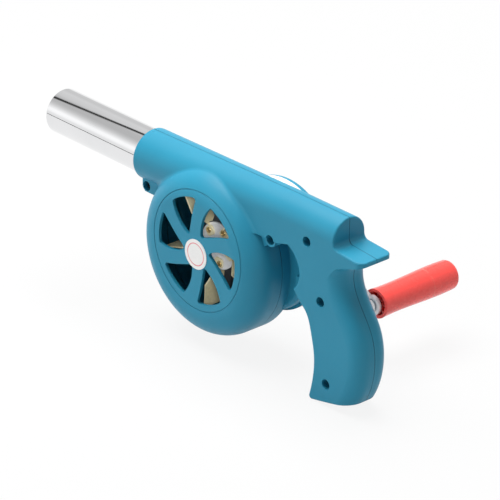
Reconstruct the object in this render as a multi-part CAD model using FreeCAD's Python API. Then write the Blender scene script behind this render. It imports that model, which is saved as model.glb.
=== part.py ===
import FreeCAD, Part
import os
from math import atan2, cos, degrees, hypot, pi, radians, sin, sqrt

V = FreeCAD.Vector

# Hand-cranked air blower, in millimetres.
# The working frame stands on the fan's axis: -X is the way the nozzle blows, +X is the rear,
# -Y is the air intake side, +Y is the crank side and +Z is up. The two housing halves part at Y = 0.
# The finished pieces are moved so that the middle of the hand grip is the origin.

# Air nozzle tube
tube_radius = 15.0
tube_wall = 0.8
tube_showing = 88.8
tube_in_socket = 25.0
stop_groove_depth = 0.3
stop_groove_outside = 0.6
stop_groove_inside = 0.4

# Housing
wall = 2.2
seam = 0.2
barrel_front_x = -68.7
barrel_front_z = 37.5
barrel_rear_x = -10.0
socket_wall = 1.95
socket_fit = 0.05
body_half_width = 13.3
arch_x = 60.0
arch_z = 43.7
duct_end_x = 35.0
rear_x = 108.5
rim_round = 1.1
knee_round = 4.0
tab_y = 10.0
slab_bottom_z = 26.2
shelf_z = 39.6
shelf_reach = 24.0
shelf_thick = 2.8
shelf_droop = 1.4
shelf_corner = 5.0
shelf_root_round = 7.0

# Fan casing
casing_x = -3.0
casing_z = -3.7
casing_radius = 54.8
casing_round = 17.5
blend_round = 4.0
grille_y = 24.6
back_y = 15.0
back_round = 7.0

# Intake grille and badge
window_count = 6
grille_x = 0.2
grille_z = 2.1
window_outer_radius = 35.1
window_inner_radius = 10.8
window_outer_start = 32.0
window_outer_end = 70.5
window_inner_angle = 69.5
window_lead_bulge = 2.8
window_trail_bulge = 0.6
window_corner = 1.6
groove_radius = 39.5
groove_width = 0.5
groove_depth = 0.3
badge_radius = 9.9
badge_thick = 0.4

# Crank, gear drum and cover
crank_x = 25.0
crank_z = 3.0
drum_radius = 40.0
drum_y = 7.0
drum_round = 3.0
drum_opening_radius = 32.0
cover_radius = 42.0
cover_y = 30.4
cover_round = 3.2
cover_gap = 0.3
cover_boss_radius = 9.5
cover_boss_height = 0.8
label_thick = 0.15
label_foot_margin = 0.8
label_top_margin = 1.4
glue = 0.03

# Gear train
gear_module = 0.7
pressure_angle = 25.0
backlash = 0.12
crank_teeth = 60
wheel_teeth = 54
pinion_teeth = 12
crank_gear_y = 11.0
crank_gear_face = 4.0
idler_wheel_y = 6.5
idler_wheel_face = 3.0
idler_pinion_end_y = 15.8
fan_pinion_y = 6.0
fan_pinion_end_y = 10.0
tooth_rise = 0.9
tooth_root = 1.2
gear_hub_radius = 8.0
gear_hub_back = 1.5
gear_hub_front = 2.0
crank_hole_circle = 14.0
crank_hole_radius = 3.6
idler_hole_circle = 11.0
idler_hole_radius = 3.2
pinion_neck_reach = 0.8

# Gearbox frame
front_plate_y = 4.0
back_plate_y = 18.0
plate_thick = 1.2
pillar_radius = 3.0
pillar_circle = 25.0
plate_margin = 4.5
back_plate_margin = 3.5
bush_wall = 2.0
bush_flange = 1.2
bush_flange_thick = 0.8
cover_bush_reach = 1.0
axle_stake = 0.6
running_fit = 0.05

# Shafts
crank_shaft_radius = 4.0
fan_shaft_radius = 2.0
fan_shaft_front = 9.0
fan_shaft_rear = 2.0
idler_axle_radius = 2.0
shaft_clip_band = 3.0
shaft_clip_thick = 1.0
shaft_clip_gap = 4.0
shaft_clip_play = 0.1

# Impeller
blade_count = 5
blade_angle = 123.5
blade_tip_radius = 40.0
blade_root_radius = 7.5
blade_thick = 0.8
blade_front_y = -16.0
blade_back_y = -0.5
blade_neck_radius = 16.0
blade_neck_front_y = -8.0
blade_shoulder_radius = 24.5
blade_corner = 2.5
disc_y = -5.0
disc_thick = 1.0
disc_radius = 15.5
eyelet_circle = 11.7
eyelet_turn = 12.5
eyelet_radius = 1.5
eyelet_flange_radius = 2.0
eyelet_wall = 0.5
eyelet_lip = 0.6
eyelet_tail = 0.5
foot_margin = 0.7
foot_inner_margin = 1.7
foot_back = 2.0
foot_round = 2.0
fan_hub_radius = 5.0
fan_nut_radius = 4.0
fan_nut_height = 3.0

# Crank arm and handle
arm_length = 66.5
arm_angle = -25.0
arm_thick = 2.5
arm_half_width = 4.2
arm_eye_radius = 6.6
arm_hub_radius = 7.5
arm_inner_y = 32.6
arm_outer_y = 44.5
arm_bend_start = 13.0
arm_bend_length = 17.0
tenon_half = 3.0
thread_radius = 2.8
thread_length = 4.6
washer_radius = 5.6
washer_thick = 0.8
crank_nut_radius = 5.2
crank_nut_height = 3.0
handle_y = 48.6
handle_length = 65.0
handle_radius = 9.7
handle_waist = 9.3
handle_belly = 10.0
handle_end_radius = 9.8
handle_waist_share = 0.22
handle_belly_share = 0.66
handle_wall = 1.7
handle_mouth_depth = 14.0
handle_end_round = 3.0
handle_recess_radius = 6.0
handle_recess_depth = 4.0
sleeve_wall = 1.6
rib_count = 8
rib_thick = 1.1
rib_setback = 1.6
handle_pin_radius = 3.0
handle_play = 0.3
pin_rivet_radius = 4.2
pin_rivet_height = 0.8
pin_collar_radius = 4.4
pin_collar_reach = 1.2
pin_end_reach = 1.8
handle_clip_radius = 5.2
handle_clip_thick = 0.9

# Screws
screw_radius = 1.5
screw_head_radius = 2.9
screw_head_height = 2.2
screw_head_round = 1.0
screw_slot_half = 1.75
screw_slot_width = 0.7
screw_slot_depth = 1.0
screw_reach = 9.0
screw_hole_fit = 0.3
screw_head_fit = 0.2
screw_bite = 0.02
pilot_spare = 0.3
recess_radius = 3.3
recess_floor_y = -5.0
tab_wall = 0.7
boss_radius = 4.6
post_radius = 3.6
cover_screw_circle = 36.4
cover_screw_count = 3
cover_screw_angle = 60.0
cover_screw_reach = 5.5
cover_screw_sink = 1.0
gearbox_screw_gap = 3.5

# Hand grip
grip_x = 113.0
grip_z = -25.0
grip_back_round = 9.5
toe_x = 90.8
toe_z = -67.3
toe_round = 2.2
web_y = 3.0


# Places worked out from the sizes above

barrel_front_radius = tube_radius + socket_fit + socket_wall
muzzle_x = barrel_front_x - tube_showing
socket_end_x = barrel_front_x + tube_in_socket
crank_axis = (crank_x, crank_z)
fan_axis = (0.0, 0.0)
grille_axis = (grille_x, grille_z)
crank_bore = crank_shaft_radius + running_fit
fan_bore = fan_shaft_radius + running_fit
crank_bush_radius = crank_bore + bush_wall
fan_bush_radius = fan_bore + bush_wall
pinion_neck_radius = gear_module * (pinion_teeth / 2 - tooth_root) - 0.1
tab_place = (barrel_front_x + 5.1, barrel_front_z - tube_radius - 2.8)
housing_screw_places = (
    tab_place,
    (arch_x - 6.1, slab_bottom_z - 0.3),
    (rear_x - 22.5, arch_z - 7.0),
    (grip_x - 13.7, grip_z + 26.3),
    (grip_x - 6.7, grip_z - 26.6),
)


def at_angle(centre, radius, angle):
    """A place on a circle in the XZ plane, as a pair."""
    turn = radians(angle)
    return (centre[0] + radius * cos(turn), centre[1] + radius * sin(turn))


def third_corner(first, second, first_side, second_side):
    """The place at two given distances from two others, on the lower side of the line between."""
    dx = second[0] - first[0]
    dz = second[1] - first[1]
    base = hypot(dx, dz)
    along = (first_side ** 2 - second_side ** 2 + base ** 2) / (2 * base)
    aside = sqrt(first_side ** 2 - along ** 2)
    ux = dx / base
    uz = dz / base
    return (first[0] + along * ux + aside * uz, first[1] + along * uz - aside * ux)


fan_centres = gear_module * (wheel_teeth + pinion_teeth) / 2
crank_centres = gear_module * (crank_teeth + pinion_teeth) / 2
idler_axis = third_corner(fan_axis, crank_axis, fan_centres, crank_centres)
handle_axis = at_angle(crank_axis, arm_length, arm_angle)

pillar_places = [at_angle(crank_axis, pillar_circle, angle) for angle in (112, 70, -50, 150)]
post_places = [
    (casing_x - 21.0, casing_z - 0.3),
    (casing_x + 13.0, casing_z - 40.3),
    (casing_x + 15.0, casing_z + 42.2),
]
cover_screw_places = [
    at_angle(crank_axis, cover_screw_circle, cover_screw_angle + 360.0 / cover_screw_count * step)
    for step in range(cover_screw_count)
]


# Plain shapes

def point(place, y=0.0):
    """A place (x, z) as a vector at the height y."""
    return V(place[0], y, place[1])


def line(first, second):
    return Part.LineSegment(point(first), point(second)).toShape()


def arc(first, middle, last):
    return Part.Arc(point(first), point(middle), point(last)).toShape()


def smooth(places):
    """A smooth curve through places."""
    curve = Part.BSplineCurve()
    curve.interpolate([point(place) for place in places])
    return curve.toShape()


def bulged(first, last, bulge):
    """An arc between two places, swelling to the left of the way from first to last."""
    dx = last[0] - first[0]
    dz = last[1] - first[1]
    size = hypot(dx, dz)
    middle = ((first[0] + last[0]) / 2 - dz / size * bulge, (first[1] + last[1]) / 2 + dx / size * bulge)
    return arc(first, middle, last)


def prism(edges, y0, y1):
    """A closed outline drawn at Y = 0, as a solid from y0 to y1."""
    face = Part.Face(Part.Wire(edges))
    face.translate(V(0, y0, 0))
    return face.extrude(V(0, y1 - y0, 0))


def polygon_prism(places, y0, y1):
    return prism([line(a, b) for a, b in zip(places, places[1:] + places[:1])], y0, y1)


def rod(place, radius, y0, y1):
    """A cylinder along Y."""
    low = min(y0, y1)
    return Part.makeCylinder(radius, abs(y1 - y0), point(place, low), V(0, 1, 0))


def ring(place, outer, inner, y0, y1):
    return rod(place, outer, y0, y1).cut(rod(place, inner, y0 - 1, y1 + 1))


def block(x0, x1, y0, y1, z0, z1):
    return Part.makeBox(x1 - x0, y1 - y0, z1 - z0, V(x0, y0, z0))


def joined(shapes):
    whole = shapes[0].fuse(shapes[1:])
    return whole.removeSplitter()


def turned(place, profile, side=1):
    """A profile of edges in (radius, y), turned about the Y line through a place."""
    wire = Part.Wire(profile)
    face = Part.Face(wire)
    solid = face.revolve(V(0, 0, 0), V(0, 1, 0), 360)
    if side < 0:
        solid = solid.mirror(V(0, 0, 0), V(0, 1, 0))
    solid.translate(point(place))
    return solid


def profile_line(first, second):
    return Part.LineSegment(V(first[0], first[1], 0), V(second[0], second[1], 0)).toShape()


def profile_arc(first, middle, last):
    return Part.Arc(V(*first, 0), V(*middle, 0), V(*last, 0)).toShape()


def rounded_drum(place, radius, foot, height, rounding, side=1):
    """A cylinder from foot to height along Y, with its far edge rounded."""
    knee = (radius - rounding + rounding * cos(pi / 4), height - rounding + rounding * sin(pi / 4))
    profile = [
        profile_line((0, foot), (radius, foot)),
        profile_line((radius, foot), (radius, height - rounding)),
        profile_arc((radius, height - rounding), knee, (radius - rounding, height)),
        profile_line((radius - rounding, height), (0, height)),
        profile_line((0, height), (0, foot)),
    ]
    return turned(place, profile, side)


def rounded_hull(places, radius, y0, y1):
    """A plate round a convex ring of places, listed against the clock, with a margin."""
    edges = []
    count = len(places)
    normals = []
    for step in range(count):
        here = places[step]
        there = places[(step + 1) % count]
        size = hypot(there[0] - here[0], there[1] - here[1])
        normals.append(((there[1] - here[1]) / size, -(there[0] - here[0]) / size))
    for step in range(count):
        before = normals[step - 1]
        after = normals[step]
        middle = (before[0] + after[0], before[1] + after[1])
        size = hypot(*middle)
        here = places[step]
        there = places[(step + 1) % count]
        start = (here[0] + radius * before[0], here[1] + radius * before[1])
        knee = (here[0] + radius * middle[0] / size, here[1] + radius * middle[1] / size)
        end = (here[0] + radius * after[0], here[1] + radius * after[1])
        edges.append(arc(start, knee, end))
        edges.append(line(end, (there[0] + radius * after[0], there[1] + radius * after[1])))
    return prism(edges, y0, y1)


# Pistol body: barrel, rear arch, thumb shelf and grip

def barrel_radius(x):
    share = (x - barrel_front_x) / (arch_x - barrel_front_x)
    return barrel_front_radius + share * (body_half_width - barrel_front_radius)


def barrel_z(x):
    share = (x - barrel_front_x) / (arch_x - barrel_front_x)
    return barrel_front_z + share * (arch_z - barrel_front_z)


def circle_at(x, inset):
    circle = Part.Circle(V(x, 0, barrel_z(x)), V(1, 0, 0), barrel_radius(x) - inset)
    return Part.Wire(circle.toShape())


def arch_at(x, bottom, inset=0.0):
    """Half a circle over straight sides, in the plane across the barrel at x."""
    radius = barrel_radius(x) - inset
    z = barrel_z(x)
    over = Part.Arc(V(x, -radius, z), V(x, 0, z + radius), V(x, radius, z)).toShape()
    right = Part.LineSegment(V(x, radius, z), V(x, radius, bottom)).toShape()
    under = Part.LineSegment(V(x, radius, bottom), V(x, -radius, bottom)).toShape()
    left = Part.LineSegment(V(x, -radius, bottom), V(x, -radius, z)).toShape()
    return Part.Wire([over, right, under, left])


def edges_where(solid, test):
    return [edge for edge in solid.Edges if test(edge.BoundBox)]


def grip_outline(top_z):
    """The rear of the body seen from the side: barrel end, thumb shelf, grip and finger gap."""
    turn = 1 - cos(pi / 4)
    rear_low = (rear_x, shelf_z + knee_round)
    knee_middle = (rear_x + knee_round * turn, shelf_z + knee_round * turn)
    shelf_start = (rear_x + knee_round, shelf_z)
    tip_top = (rear_x + shelf_reach, shelf_z - shelf_droop)
    tip_bottom = (tip_top[0], tip_top[1] - shelf_thick)
    back = [
        (grip_x + 5.5, grip_z + 55.6),
        (grip_x + 1.0, grip_z + 49.0),
        (grip_x + 1.2, grip_z + 40.0),
        (grip_x + 6.5, grip_z + 29.0),
        (grip_x + 17.5, grip_z + 12.0),
        (grip_x + 21.2, grip_z - 9.0),
        (grip_x + 19.0, grip_z - 23.0),
        (grip_x + 14.3, grip_z - 34.2),
    ]
    bottom = (grip_x - 2.0, grip_z - 38.2)
    front = [
        (toe_x, toe_z),
        (grip_x - 18.4, grip_z - 24.5),
        (grip_x - 18.2, grip_z - 12.0),
        (grip_x - 21.5, grip_z + 3.0),
        (grip_x - 26.5, grip_z + 14.9),
        (grip_x - 31.1, grip_z + 19.2),
        (grip_x - 37.6, grip_z + 26.5),
    ]
    gap_top = (grip_x - 44.5, slab_bottom_z + 2.3)
    gap = [
        front[-1],
        (grip_x - 35.0, grip_z + 29.8),
        (grip_x - 32.9, grip_z + 37.0),
        (grip_x - 36.5, grip_z + 47.2),
        gap_top,
    ]
    slab_corner = (arch_x, slab_bottom_z)
    return [
        line((arch_x, top_z), (rear_x, top_z)),
        line((rear_x, top_z), rear_low),
        arc(rear_low, knee_middle, shelf_start),
        line(shelf_start, tip_top),
        line(tip_top, tip_bottom),
        line(tip_bottom, back[0]),
        smooth(back),
        arc(back[-1], bottom, front[0]),
        smooth(front),
        smooth(gap),
        line(gap_top, slab_corner),
        line(slab_corner, (arch_x, top_z)),
    ]


def shelf_corner_cut(side):
    """What is taken off one corner of the thumb shelf to round it in plan."""
    tip = rear_x + shelf_reach
    edge = side * body_half_width
    low = shelf_z - 2 * shelf_corner
    inner = edge - side * shelf_corner
    outer = edge + side
    corner = block(tip - shelf_corner, tip + 1, min(inner, outer), max(inner, outer), low, shelf_z + 1)
    centre = V(tip - shelf_corner, inner, low - 1)
    return corner.cut(Part.makeCylinder(shelf_corner, shelf_z - low + 3, centre))


def rear_body():
    """The body behind the barrel: an arch-topped slab cut to the side outline, with soft edges."""
    width = body_half_width
    top_z = arch_z + width + 1
    outline = prism(grip_outline(top_z), -width, width)
    arch = Part.Face(arch_at(arch_x, toe_z - 10)).extrude(V(rear_x + shelf_reach + 5 - arch_x, 0, 0))
    body = outline.common(arch).cut([shelf_corner_cut(side) for side in (-1, 1)])

    def back_of_grip(box):
        at_side = abs(box.YMin) > width - 0.01 and box.YLength < 0.01
        return at_side and box.XMin > grip_x and box.ZMax < shelf_z - shelf_thick and box.ZLength > 20

    def under_shelf(box):
        return box.XMax < grip_x + 9 and box.XMin > grip_x + 2 and box.ZMin > grip_z + 50 and box.YLength > 1

    def toe_edge(box):
        return box.ZMax < toe_z + 0.01

    def rear_rim(box):
        return box.XMin > rear_x - 0.01 and box.ZMax > shelf_z and box.ZMin > arch_z - 0.01

    def front_rim(box):
        at_side = abs(box.YMin) > width - 0.01 and box.YLength < 0.01
        return at_side and box.XMax < grip_x and box.ZMax < grip_z + 30 and box.ZMin < toe_z + 15

    def gap_rim(box):
        at_side = abs(box.YMin) > width - 0.01 and box.YLength < 0.01
        return at_side and box.XMax < grip_x and box.ZMin > grip_z + 20 and box.ZMax < slab_bottom_z + 3 and (
            box.XMin > arch_x + 1)

    for radius, wanted in (
            (grip_back_round, back_of_grip), (shelf_root_round, under_shelf), (toe_round, toe_edge),
            (rim_round, rear_rim), (rim_round, front_rim), (rim_round, gap_rim)):
        body = body.makeFillet(radius, edges_where(body, wanted))
    return body


def grip_cavity(side):
    """The hollow of the grip on one side, clear of the rounded back."""
    back_margin = grip_back_round - 1.5
    depth = body_half_width - wall
    front = [
        (toe_x + 7.0, toe_z + 4.5),
        (grip_x - 18.4 + wall, grip_z - 20.5),
        (grip_x - 18.2 + wall, grip_z - 12.0),
        (grip_x - 21.5 + wall, grip_z + 3.0),
        (grip_x - 27.0 + wall, grip_z + 15.0),
    ]
    back = [
        (grip_x - back_margin + 2.0, grip_z + 38.0),
        (grip_x - back_margin + 6.0, grip_z + 27.0),
        (grip_x - back_margin + 17.0, grip_z + 10.0),
        (grip_x - back_margin + 20.5, grip_z - 9.0),
        (grip_x - back_margin + 18.0, grip_z - 23.0),
        (grip_x - back_margin + 12.0, grip_z - 31.0),
    ]
    top = (grip_x - 30.0 + wall, grip_z + 38.0)
    edges = [
        smooth(front),
        line(front[-1], top),
        line(top, back[0]),
        smooth(back),
        line(back[-1], front[0]),
    ]
    return prism(edges, 0, side * depth)


def pistol_body():
    """The outside of barrel, slab, shelf and grip, both sides in one."""
    barrel = Part.makeLoft([circle_at(barrel_front_x, 0), circle_at(barrel_rear_x, 0)], True, True)
    slab = Part.makeLoft([arch_at(barrel_rear_x, slab_bottom_z), arch_at(arch_x, slab_bottom_z)], True, True)
    return joined([barrel, slab, rear_body()])


def duct():
    """The air way inside the barrel, from the casing to the nozzle socket."""
    circles = [circle_at(x, wall) for x in (socket_end_x, barrel_rear_x, duct_end_x)]
    front = Part.makeLoft(circles[:2], True, True)
    rear = Part.makeLoft(circles[1:], True, True)
    return joined([front, rear, socket()])


def slab_cavity():
    """The empty room behind the air duct, in the slab above the grip."""
    start = duct_end_x + wall
    first = arch_at(start, slab_bottom_z + wall, wall)
    last = arch_at(arch_x, slab_bottom_z + wall, wall)
    front = Part.makeLoft([first, last], True, True)
    rear = Part.Face(last).extrude(V(rear_x - wall - arch_x, 0, 0))
    return joined([front, rear])


def front_tab(side):
    """The screw lug under the barrel, in front of the casing."""
    x, z = tab_place
    reach = recess_radius + tab_wall
    rear = x + 20.0
    top = z + 8.0
    outline = [
        (x - reach, top),
        (x - reach, z - 1.0),
        (x - 1.5, z - reach),
        (rear, z - reach),
        (rear, top),
    ]
    return polygon_prism(outline, 0, side * tab_y)


def gusset(side):
    """The filling between the casing's rim and the underside of the slab."""
    outline = [
        (arch_x - 25.0, slab_bottom_z + 1.0),
        (arch_x - 18.0, slab_bottom_z - 11.0),
        (arch_x - 9.0, slab_bottom_z - 5.0),
        (arch_x - 5.0, slab_bottom_z + 1.0),
    ]
    return polygon_prism(outline, 0, side * (body_half_width - 2.5))


def web():
    """The bridge between the gear drum and the top of the grip, below the finger gap."""
    outline = [
        (grip_x - 52.0, grip_z + 24.5),
        (grip_x - 52.0, grip_z + 12.0),
        (grip_x - 27.0, grip_z + 13.0),
        (grip_x - 27.0, grip_z + 25.0),
    ]
    return polygon_prism(outline, web_y, body_half_width - 0.5)


def keep_side(shape, side):
    """The part of a shape on one side of the parting plane, clear of it by half the seam."""
    near = seam / 2
    far = 80.0
    box = block(-200, 200, near, far, -120, 120)
    if side < 0:
        box = block(-200, 200, -far, -near, -120, 120)
    return shape.common(box)


def casing_outside(side, inset):
    height = grille_y if side < 0 else back_y
    rounding = casing_round if side < 0 else back_round
    return rounded_drum(
        (casing_x, casing_z), casing_radius - inset, 0, height - inset, rounding - inset, side)


def drum_outside(inset):
    """The gear drum: flat towards the cover, with a rounded shoulder at the parting side."""
    return rounded_drum(
        crank_axis, drum_radius - inset, -back_y, -drum_y - inset, drum_round - inset, -1)


def window(step):
    """One swirl-shaped hole of the grille, a rounded prism through the face."""
    turn = step * 360.0 / window_count
    middle = (window_outer_start + window_outer_end) / 2
    outer_first = at_angle(grille_axis, window_outer_radius, window_outer_start + turn)
    outer_middle = at_angle(grille_axis, window_outer_radius, middle + turn)
    outer_last = at_angle(grille_axis, window_outer_radius, window_outer_end + turn)
    inner = at_angle(grille_axis, window_inner_radius, window_inner_angle + turn)
    edges = [
        arc(outer_first, outer_middle, outer_last),
        bulged(outer_last, inner, -window_lead_bulge),
        bulged(inner, outer_first, window_trail_bulge),
    ]
    body = prism(edges, -grille_y - 1, -grille_y + casing_round)
    corners = edges_where(body, lambda box: box.YLength > casing_round)
    return body.makeFillet(window_corner, corners)


def grille_groove():
    """The fine round line that frames the grille, cut to an even depth below the dome."""
    inner = groove_radius - groove_width / 2
    band = ring(grille_axis, inner + groove_width, inner, -grille_y - 1, -back_round)
    return band.cut(casing_outside(-1, groove_depth))


def screw_boss(place, side):
    """A screw pillar from the parting plane to the side wall."""
    if place == tab_place:
        return rod(place, recess_radius + tab_wall, side * seam / 2, side * tab_y)
    return rod(place, boss_radius, side * seam / 2, side * (body_half_width - 0.5))


def socket():
    """The room for the tube's inner end, in the front of the barrel."""
    centre = V(barrel_front_x, 0, barrel_front_z)
    return Part.makeCylinder(tube_radius + socket_fit, tube_in_socket, centre, V(1, 0, 0))


def left_holes():
    cuts = []
    for place in housing_screw_places:
        cuts.append(rod(place, recess_radius, -body_half_width - 4, recess_floor_y))
        cuts.append(rod(place, screw_radius + screw_hole_fit, recess_floor_y - 1, 1))
    return cuts


def right_holes():
    return [rod(place, screw_radius + screw_bite, -1, screw_reach + 1) for place in housing_screw_places]


def left_shell():
    """The intake half: dome with its grille, half the barrel and half the grip."""
    def blend(box):
        return box.XMin < arch_x / 2 and box.XMax < arch_x - casing_round and box.YMax < -back_round and (
            box.YMin < -body_half_width - 0.5 and box.ZMin > slab_bottom_z - casing_round / 4)

    body = joined([keep_side(pistol_body(), -1), keep_side(casing_outside(-1, 0), -1)])
    body = body.makeFillet(blend_round, edges_where(body, blend))
    outside = joined([body, keep_side(front_tab(-1), -1), keep_side(gusset(-1), -1)])
    inside = [casing_outside(-1, wall), duct(), slab_cavity(), grip_cavity(-1)]
    shell = outside.cut(inside)
    posts = [screw_boss(place, -1) for place in housing_screw_places]
    shell = joined([shell] + posts)
    cuts = left_holes() + [window(step) for step in range(window_count)] + [grille_groove(), socket()]
    return shell.cut(cuts)


def right_shell():
    """The crank half: casing back, gear drum, half the barrel and half the grip."""
    outside = joined([
        keep_side(pistol_body(), 1),
        keep_side(casing_outside(1, 0), 1),
        drum_outside(0),
        keep_side(front_tab(1), 1),
        keep_side(gusset(1), 1),
        web(),
    ])
    drum_inside = drum_outside(wall)
    drum_inside = drum_inside.common(block(-200, 200, 0, back_y - wall, -120, 120))
    inside = [casing_outside(1, wall), drum_inside, duct(), slab_cavity(), grip_cavity(1)]
    shell = outside.cut(inside)
    shell = shell.cut(rod(crank_axis, drum_opening_radius, drum_y + wall, back_y + 1))
    posts = [screw_boss(place, 1) for place in housing_screw_places]
    for place in post_places:
        posts.append(rod(place, post_radius, front_plate_y + plate_thick, back_y - wall / 2))
    for place in cover_screw_places:
        posts.append(rod(place, post_radius, drum_y + wall / 2, back_y))
    shell = joined([shell] + posts)
    cuts = right_holes() + [socket()]
    for place in post_places:
        cuts.append(rod(place, screw_radius + screw_bite, front_plate_y, back_y - wall))
    pilot_floor = back_y - cover_screw_reach - pilot_spare
    for place in cover_screw_places:
        cuts.append(rod(place, screw_radius + screw_bite, pilot_floor, back_y + 1))
    return shell.cut(cuts)


# Gear cover on the crank side

def gear_cover():
    """The cup over the gears, with a boss for the crank shaft and three screw pillars."""
    foot = back_y + cover_gap
    cup = rounded_drum(crank_axis, cover_radius, foot, cover_y, cover_round)
    inside = rounded_drum(crank_axis, cover_radius - wall, foot - 1, cover_y - wall, cover_round - wall / 2)
    boss = rod(crank_axis, cover_boss_radius, cover_y - 1, cover_y + cover_boss_height)
    pillars = [rod(place, post_radius, back_y, cover_y - 1) for place in cover_screw_places]
    cup = joined([cup.cut(inside), boss] + pillars)
    cuts = [rod(crank_axis, crank_bush_radius, foot - 1, cover_y + cover_boss_height + 1)]
    for place in cover_screw_places:
        cuts.append(rod(place, screw_radius + screw_hole_fit, back_y - 1, cover_y + 1))
        cuts.append(rod(place, screw_head_radius + screw_head_fit, cover_y - cover_screw_sink, cover_y + 1))
    return cup.cut(cuts)


def cover_label():
    """The blank white band round the side of the cover."""
    foot = back_y + cover_gap + label_foot_margin
    top = cover_y - cover_round - label_top_margin
    inner = cover_radius + glue
    return ring(crank_axis, inner + label_thick, inner, foot, top)


# Nozzle

def nozzle_tube():
    """A thin steel tube with a rounded lip at the mouth and a shallow groove where the barrel ends."""
    length = tube_showing + tube_in_socket
    lip = tube_wall / 2
    inner = tube_radius - tube_wall
    floor = tube_radius - stop_groove_depth
    groove = (tube_showing - stop_groove_outside, tube_showing + stop_groove_inside)
    profile = [
        profile_arc((inner, lip), (tube_radius - lip, 0), (tube_radius, lip)),
        profile_line((tube_radius, lip), (tube_radius, groove[0])),
        profile_line((tube_radius, groove[0]), (floor, groove[0])),
        profile_line((floor, groove[0]), (floor, groove[1])),
        profile_line((floor, groove[1]), (tube_radius, groove[1])),
        profile_line((tube_radius, groove[1]), (tube_radius, length)),
        profile_line((tube_radius, length), (inner, length)),
        profile_line((inner, length), (inner, lip)),
    ]
    tube = Part.Face(Part.Wire(profile)).revolve(V(0, 0, 0), V(0, 1, 0), 360)
    tube.rotate(V(0, 0, 0), V(0, 0, 1), -90)
    tube.translate(V(muzzle_x, 0, barrel_front_z))
    return tube


def centre_badge():
    """The blank round sticker in the middle of the grille."""
    return rod(fan_axis, badge_radius, -grille_y - badge_thick, -grille_y)


# Fasteners

def screw(place, seat_y, tip_y, way=1):
    """A pan head screw whose head sits on seat_y and whose tip reaches tip_y."""
    shank = rod(place, screw_radius, seat_y, tip_y)
    top = seat_y - way * screw_head_height
    head = rod(place, screw_head_radius, seat_y, top)
    rim = edges_where(head, lambda box: abs(box.YMin - top) < 0.01 and box.YLength < 0.01)
    head = head.makeFillet(screw_head_round, rim)
    body = joined([head, shank])
    arms = []
    half = screw_slot_width / 2
    for turn in (45, 135):
        bar = block(-screw_slot_half, screw_slot_half, -screw_slot_depth, screw_slot_depth, -half, half)
        bar.rotate(V(0, 0, 0), V(0, 1, 0), turn)
        bar.translate(point(place, top))
        arms.append(bar)
    return body.cut(arms)


def housing_screws():
    return Part.Compound([screw(place, recess_floor_y, screw_reach) for place in housing_screw_places])


def gear_cover_screws():
    seat = cover_y - cover_screw_sink
    tip = back_y - cover_screw_reach
    return Part.Compound([screw(place, seat, tip, -1) for place in cover_screw_places])


def gearbox_screws():
    tip = back_y - gearbox_screw_gap
    return Part.Compound([screw(place, front_plate_y, tip) for place in post_places])


# Gears

def involute(base, radius):
    """The angle by which an involute has left its base circle at a radius, in radians."""
    if radius <= base:
        return 0.0
    slope = sqrt((radius / base) ** 2 - 1)
    return slope - atan2(slope, 1)


def gear(place, teeth, first_tooth, y0, y1, bore):
    """A spur gear whose first tooth points at an angle, with flat-sided slices of involute flank."""
    pitch = gear_module * teeth / 2
    base = pitch * cos(radians(pressure_angle))
    tip = pitch + tooth_rise * gear_module
    root = pitch - tooth_root * gear_module
    half = pi / (2 * teeth) - backlash / 4 / pitch + involute(base, pitch)
    low = max(base, root)
    radii = [root] + [low + (tip - low) * share for share in (0, 0.35, 0.7, 1)]
    places = []
    for tooth in range(teeth):
        middle = radians(first_tooth) + 2 * pi * tooth / teeth
        rising = [(r, middle - half + involute(base, r)) for r in radii]
        falling = [(r, 2 * middle - angle) for r, angle in reversed(rising)]
        for radius, angle in rising + falling:
            places.append((place[0] + radius * cos(angle), place[1] + radius * sin(angle)))
    clean = [here for here, before in zip(places, places[-1:] + places[:-1]) if hypot(
        here[0] - before[0], here[1] - before[1]) > 1e-6]
    body = polygon_prism(clean, y0, y1)
    return body.cut(rod(place, bore, y0 - 1, y1 + 1))


def direction(first, second):
    return degrees(atan2(second[1] - first[1], second[0] - first[0]))


def crank_gear():
    """The big driving gear on the crank shaft, with its hub."""
    way = direction(crank_axis, idler_axis)
    foot = crank_gear_y
    top = crank_gear_y + crank_gear_face
    wheel = gear(crank_axis, crank_teeth, way, foot, top, crank_shaft_radius)
    hub_back = ring(crank_axis, gear_hub_radius, crank_shaft_radius, foot - gear_hub_back, foot)
    hub_front = ring(crank_axis, gear_hub_radius, crank_shaft_radius, top, top + gear_hub_front)
    holes = [
        rod(at_angle(crank_axis, crank_hole_circle, angle), crank_hole_radius, foot - 1, top + 1)
        for angle in range(20, 380, 60)
    ]
    return wheel.cut(holes).fuse([hub_back, hub_front])


def idler_pinion():
    way = direction(idler_axis, crank_axis) + 180.0 / pinion_teeth
    bore = idler_axle_radius + running_fit
    foot = idler_wheel_y + idler_wheel_face
    body = gear(idler_axis, pinion_teeth, way, foot, idler_pinion_end_y, bore)
    neck = ring(idler_axis, pinion_neck_radius, bore, idler_wheel_y - pinion_neck_reach, foot)
    return joined([body, neck])


def idler_wheel():
    way = direction(idler_axis, fan_axis)
    foot = idler_wheel_y
    top = idler_wheel_y + idler_wheel_face
    body = gear(idler_axis, wheel_teeth, way, foot, top, pinion_neck_radius)
    holes = [
        rod(at_angle(idler_axis, idler_hole_circle, angle), idler_hole_radius, foot - 1, top + 1)
        for angle in range(0, 360, 72)
    ]
    return body.cut(holes)


def fan_pinion():
    way = direction(fan_axis, idler_axis) + 180.0 / pinion_teeth
    return gear(fan_axis, pinion_teeth, way, fan_pinion_y, fan_pinion_end_y, fan_shaft_radius)


# Gearbox frame

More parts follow.
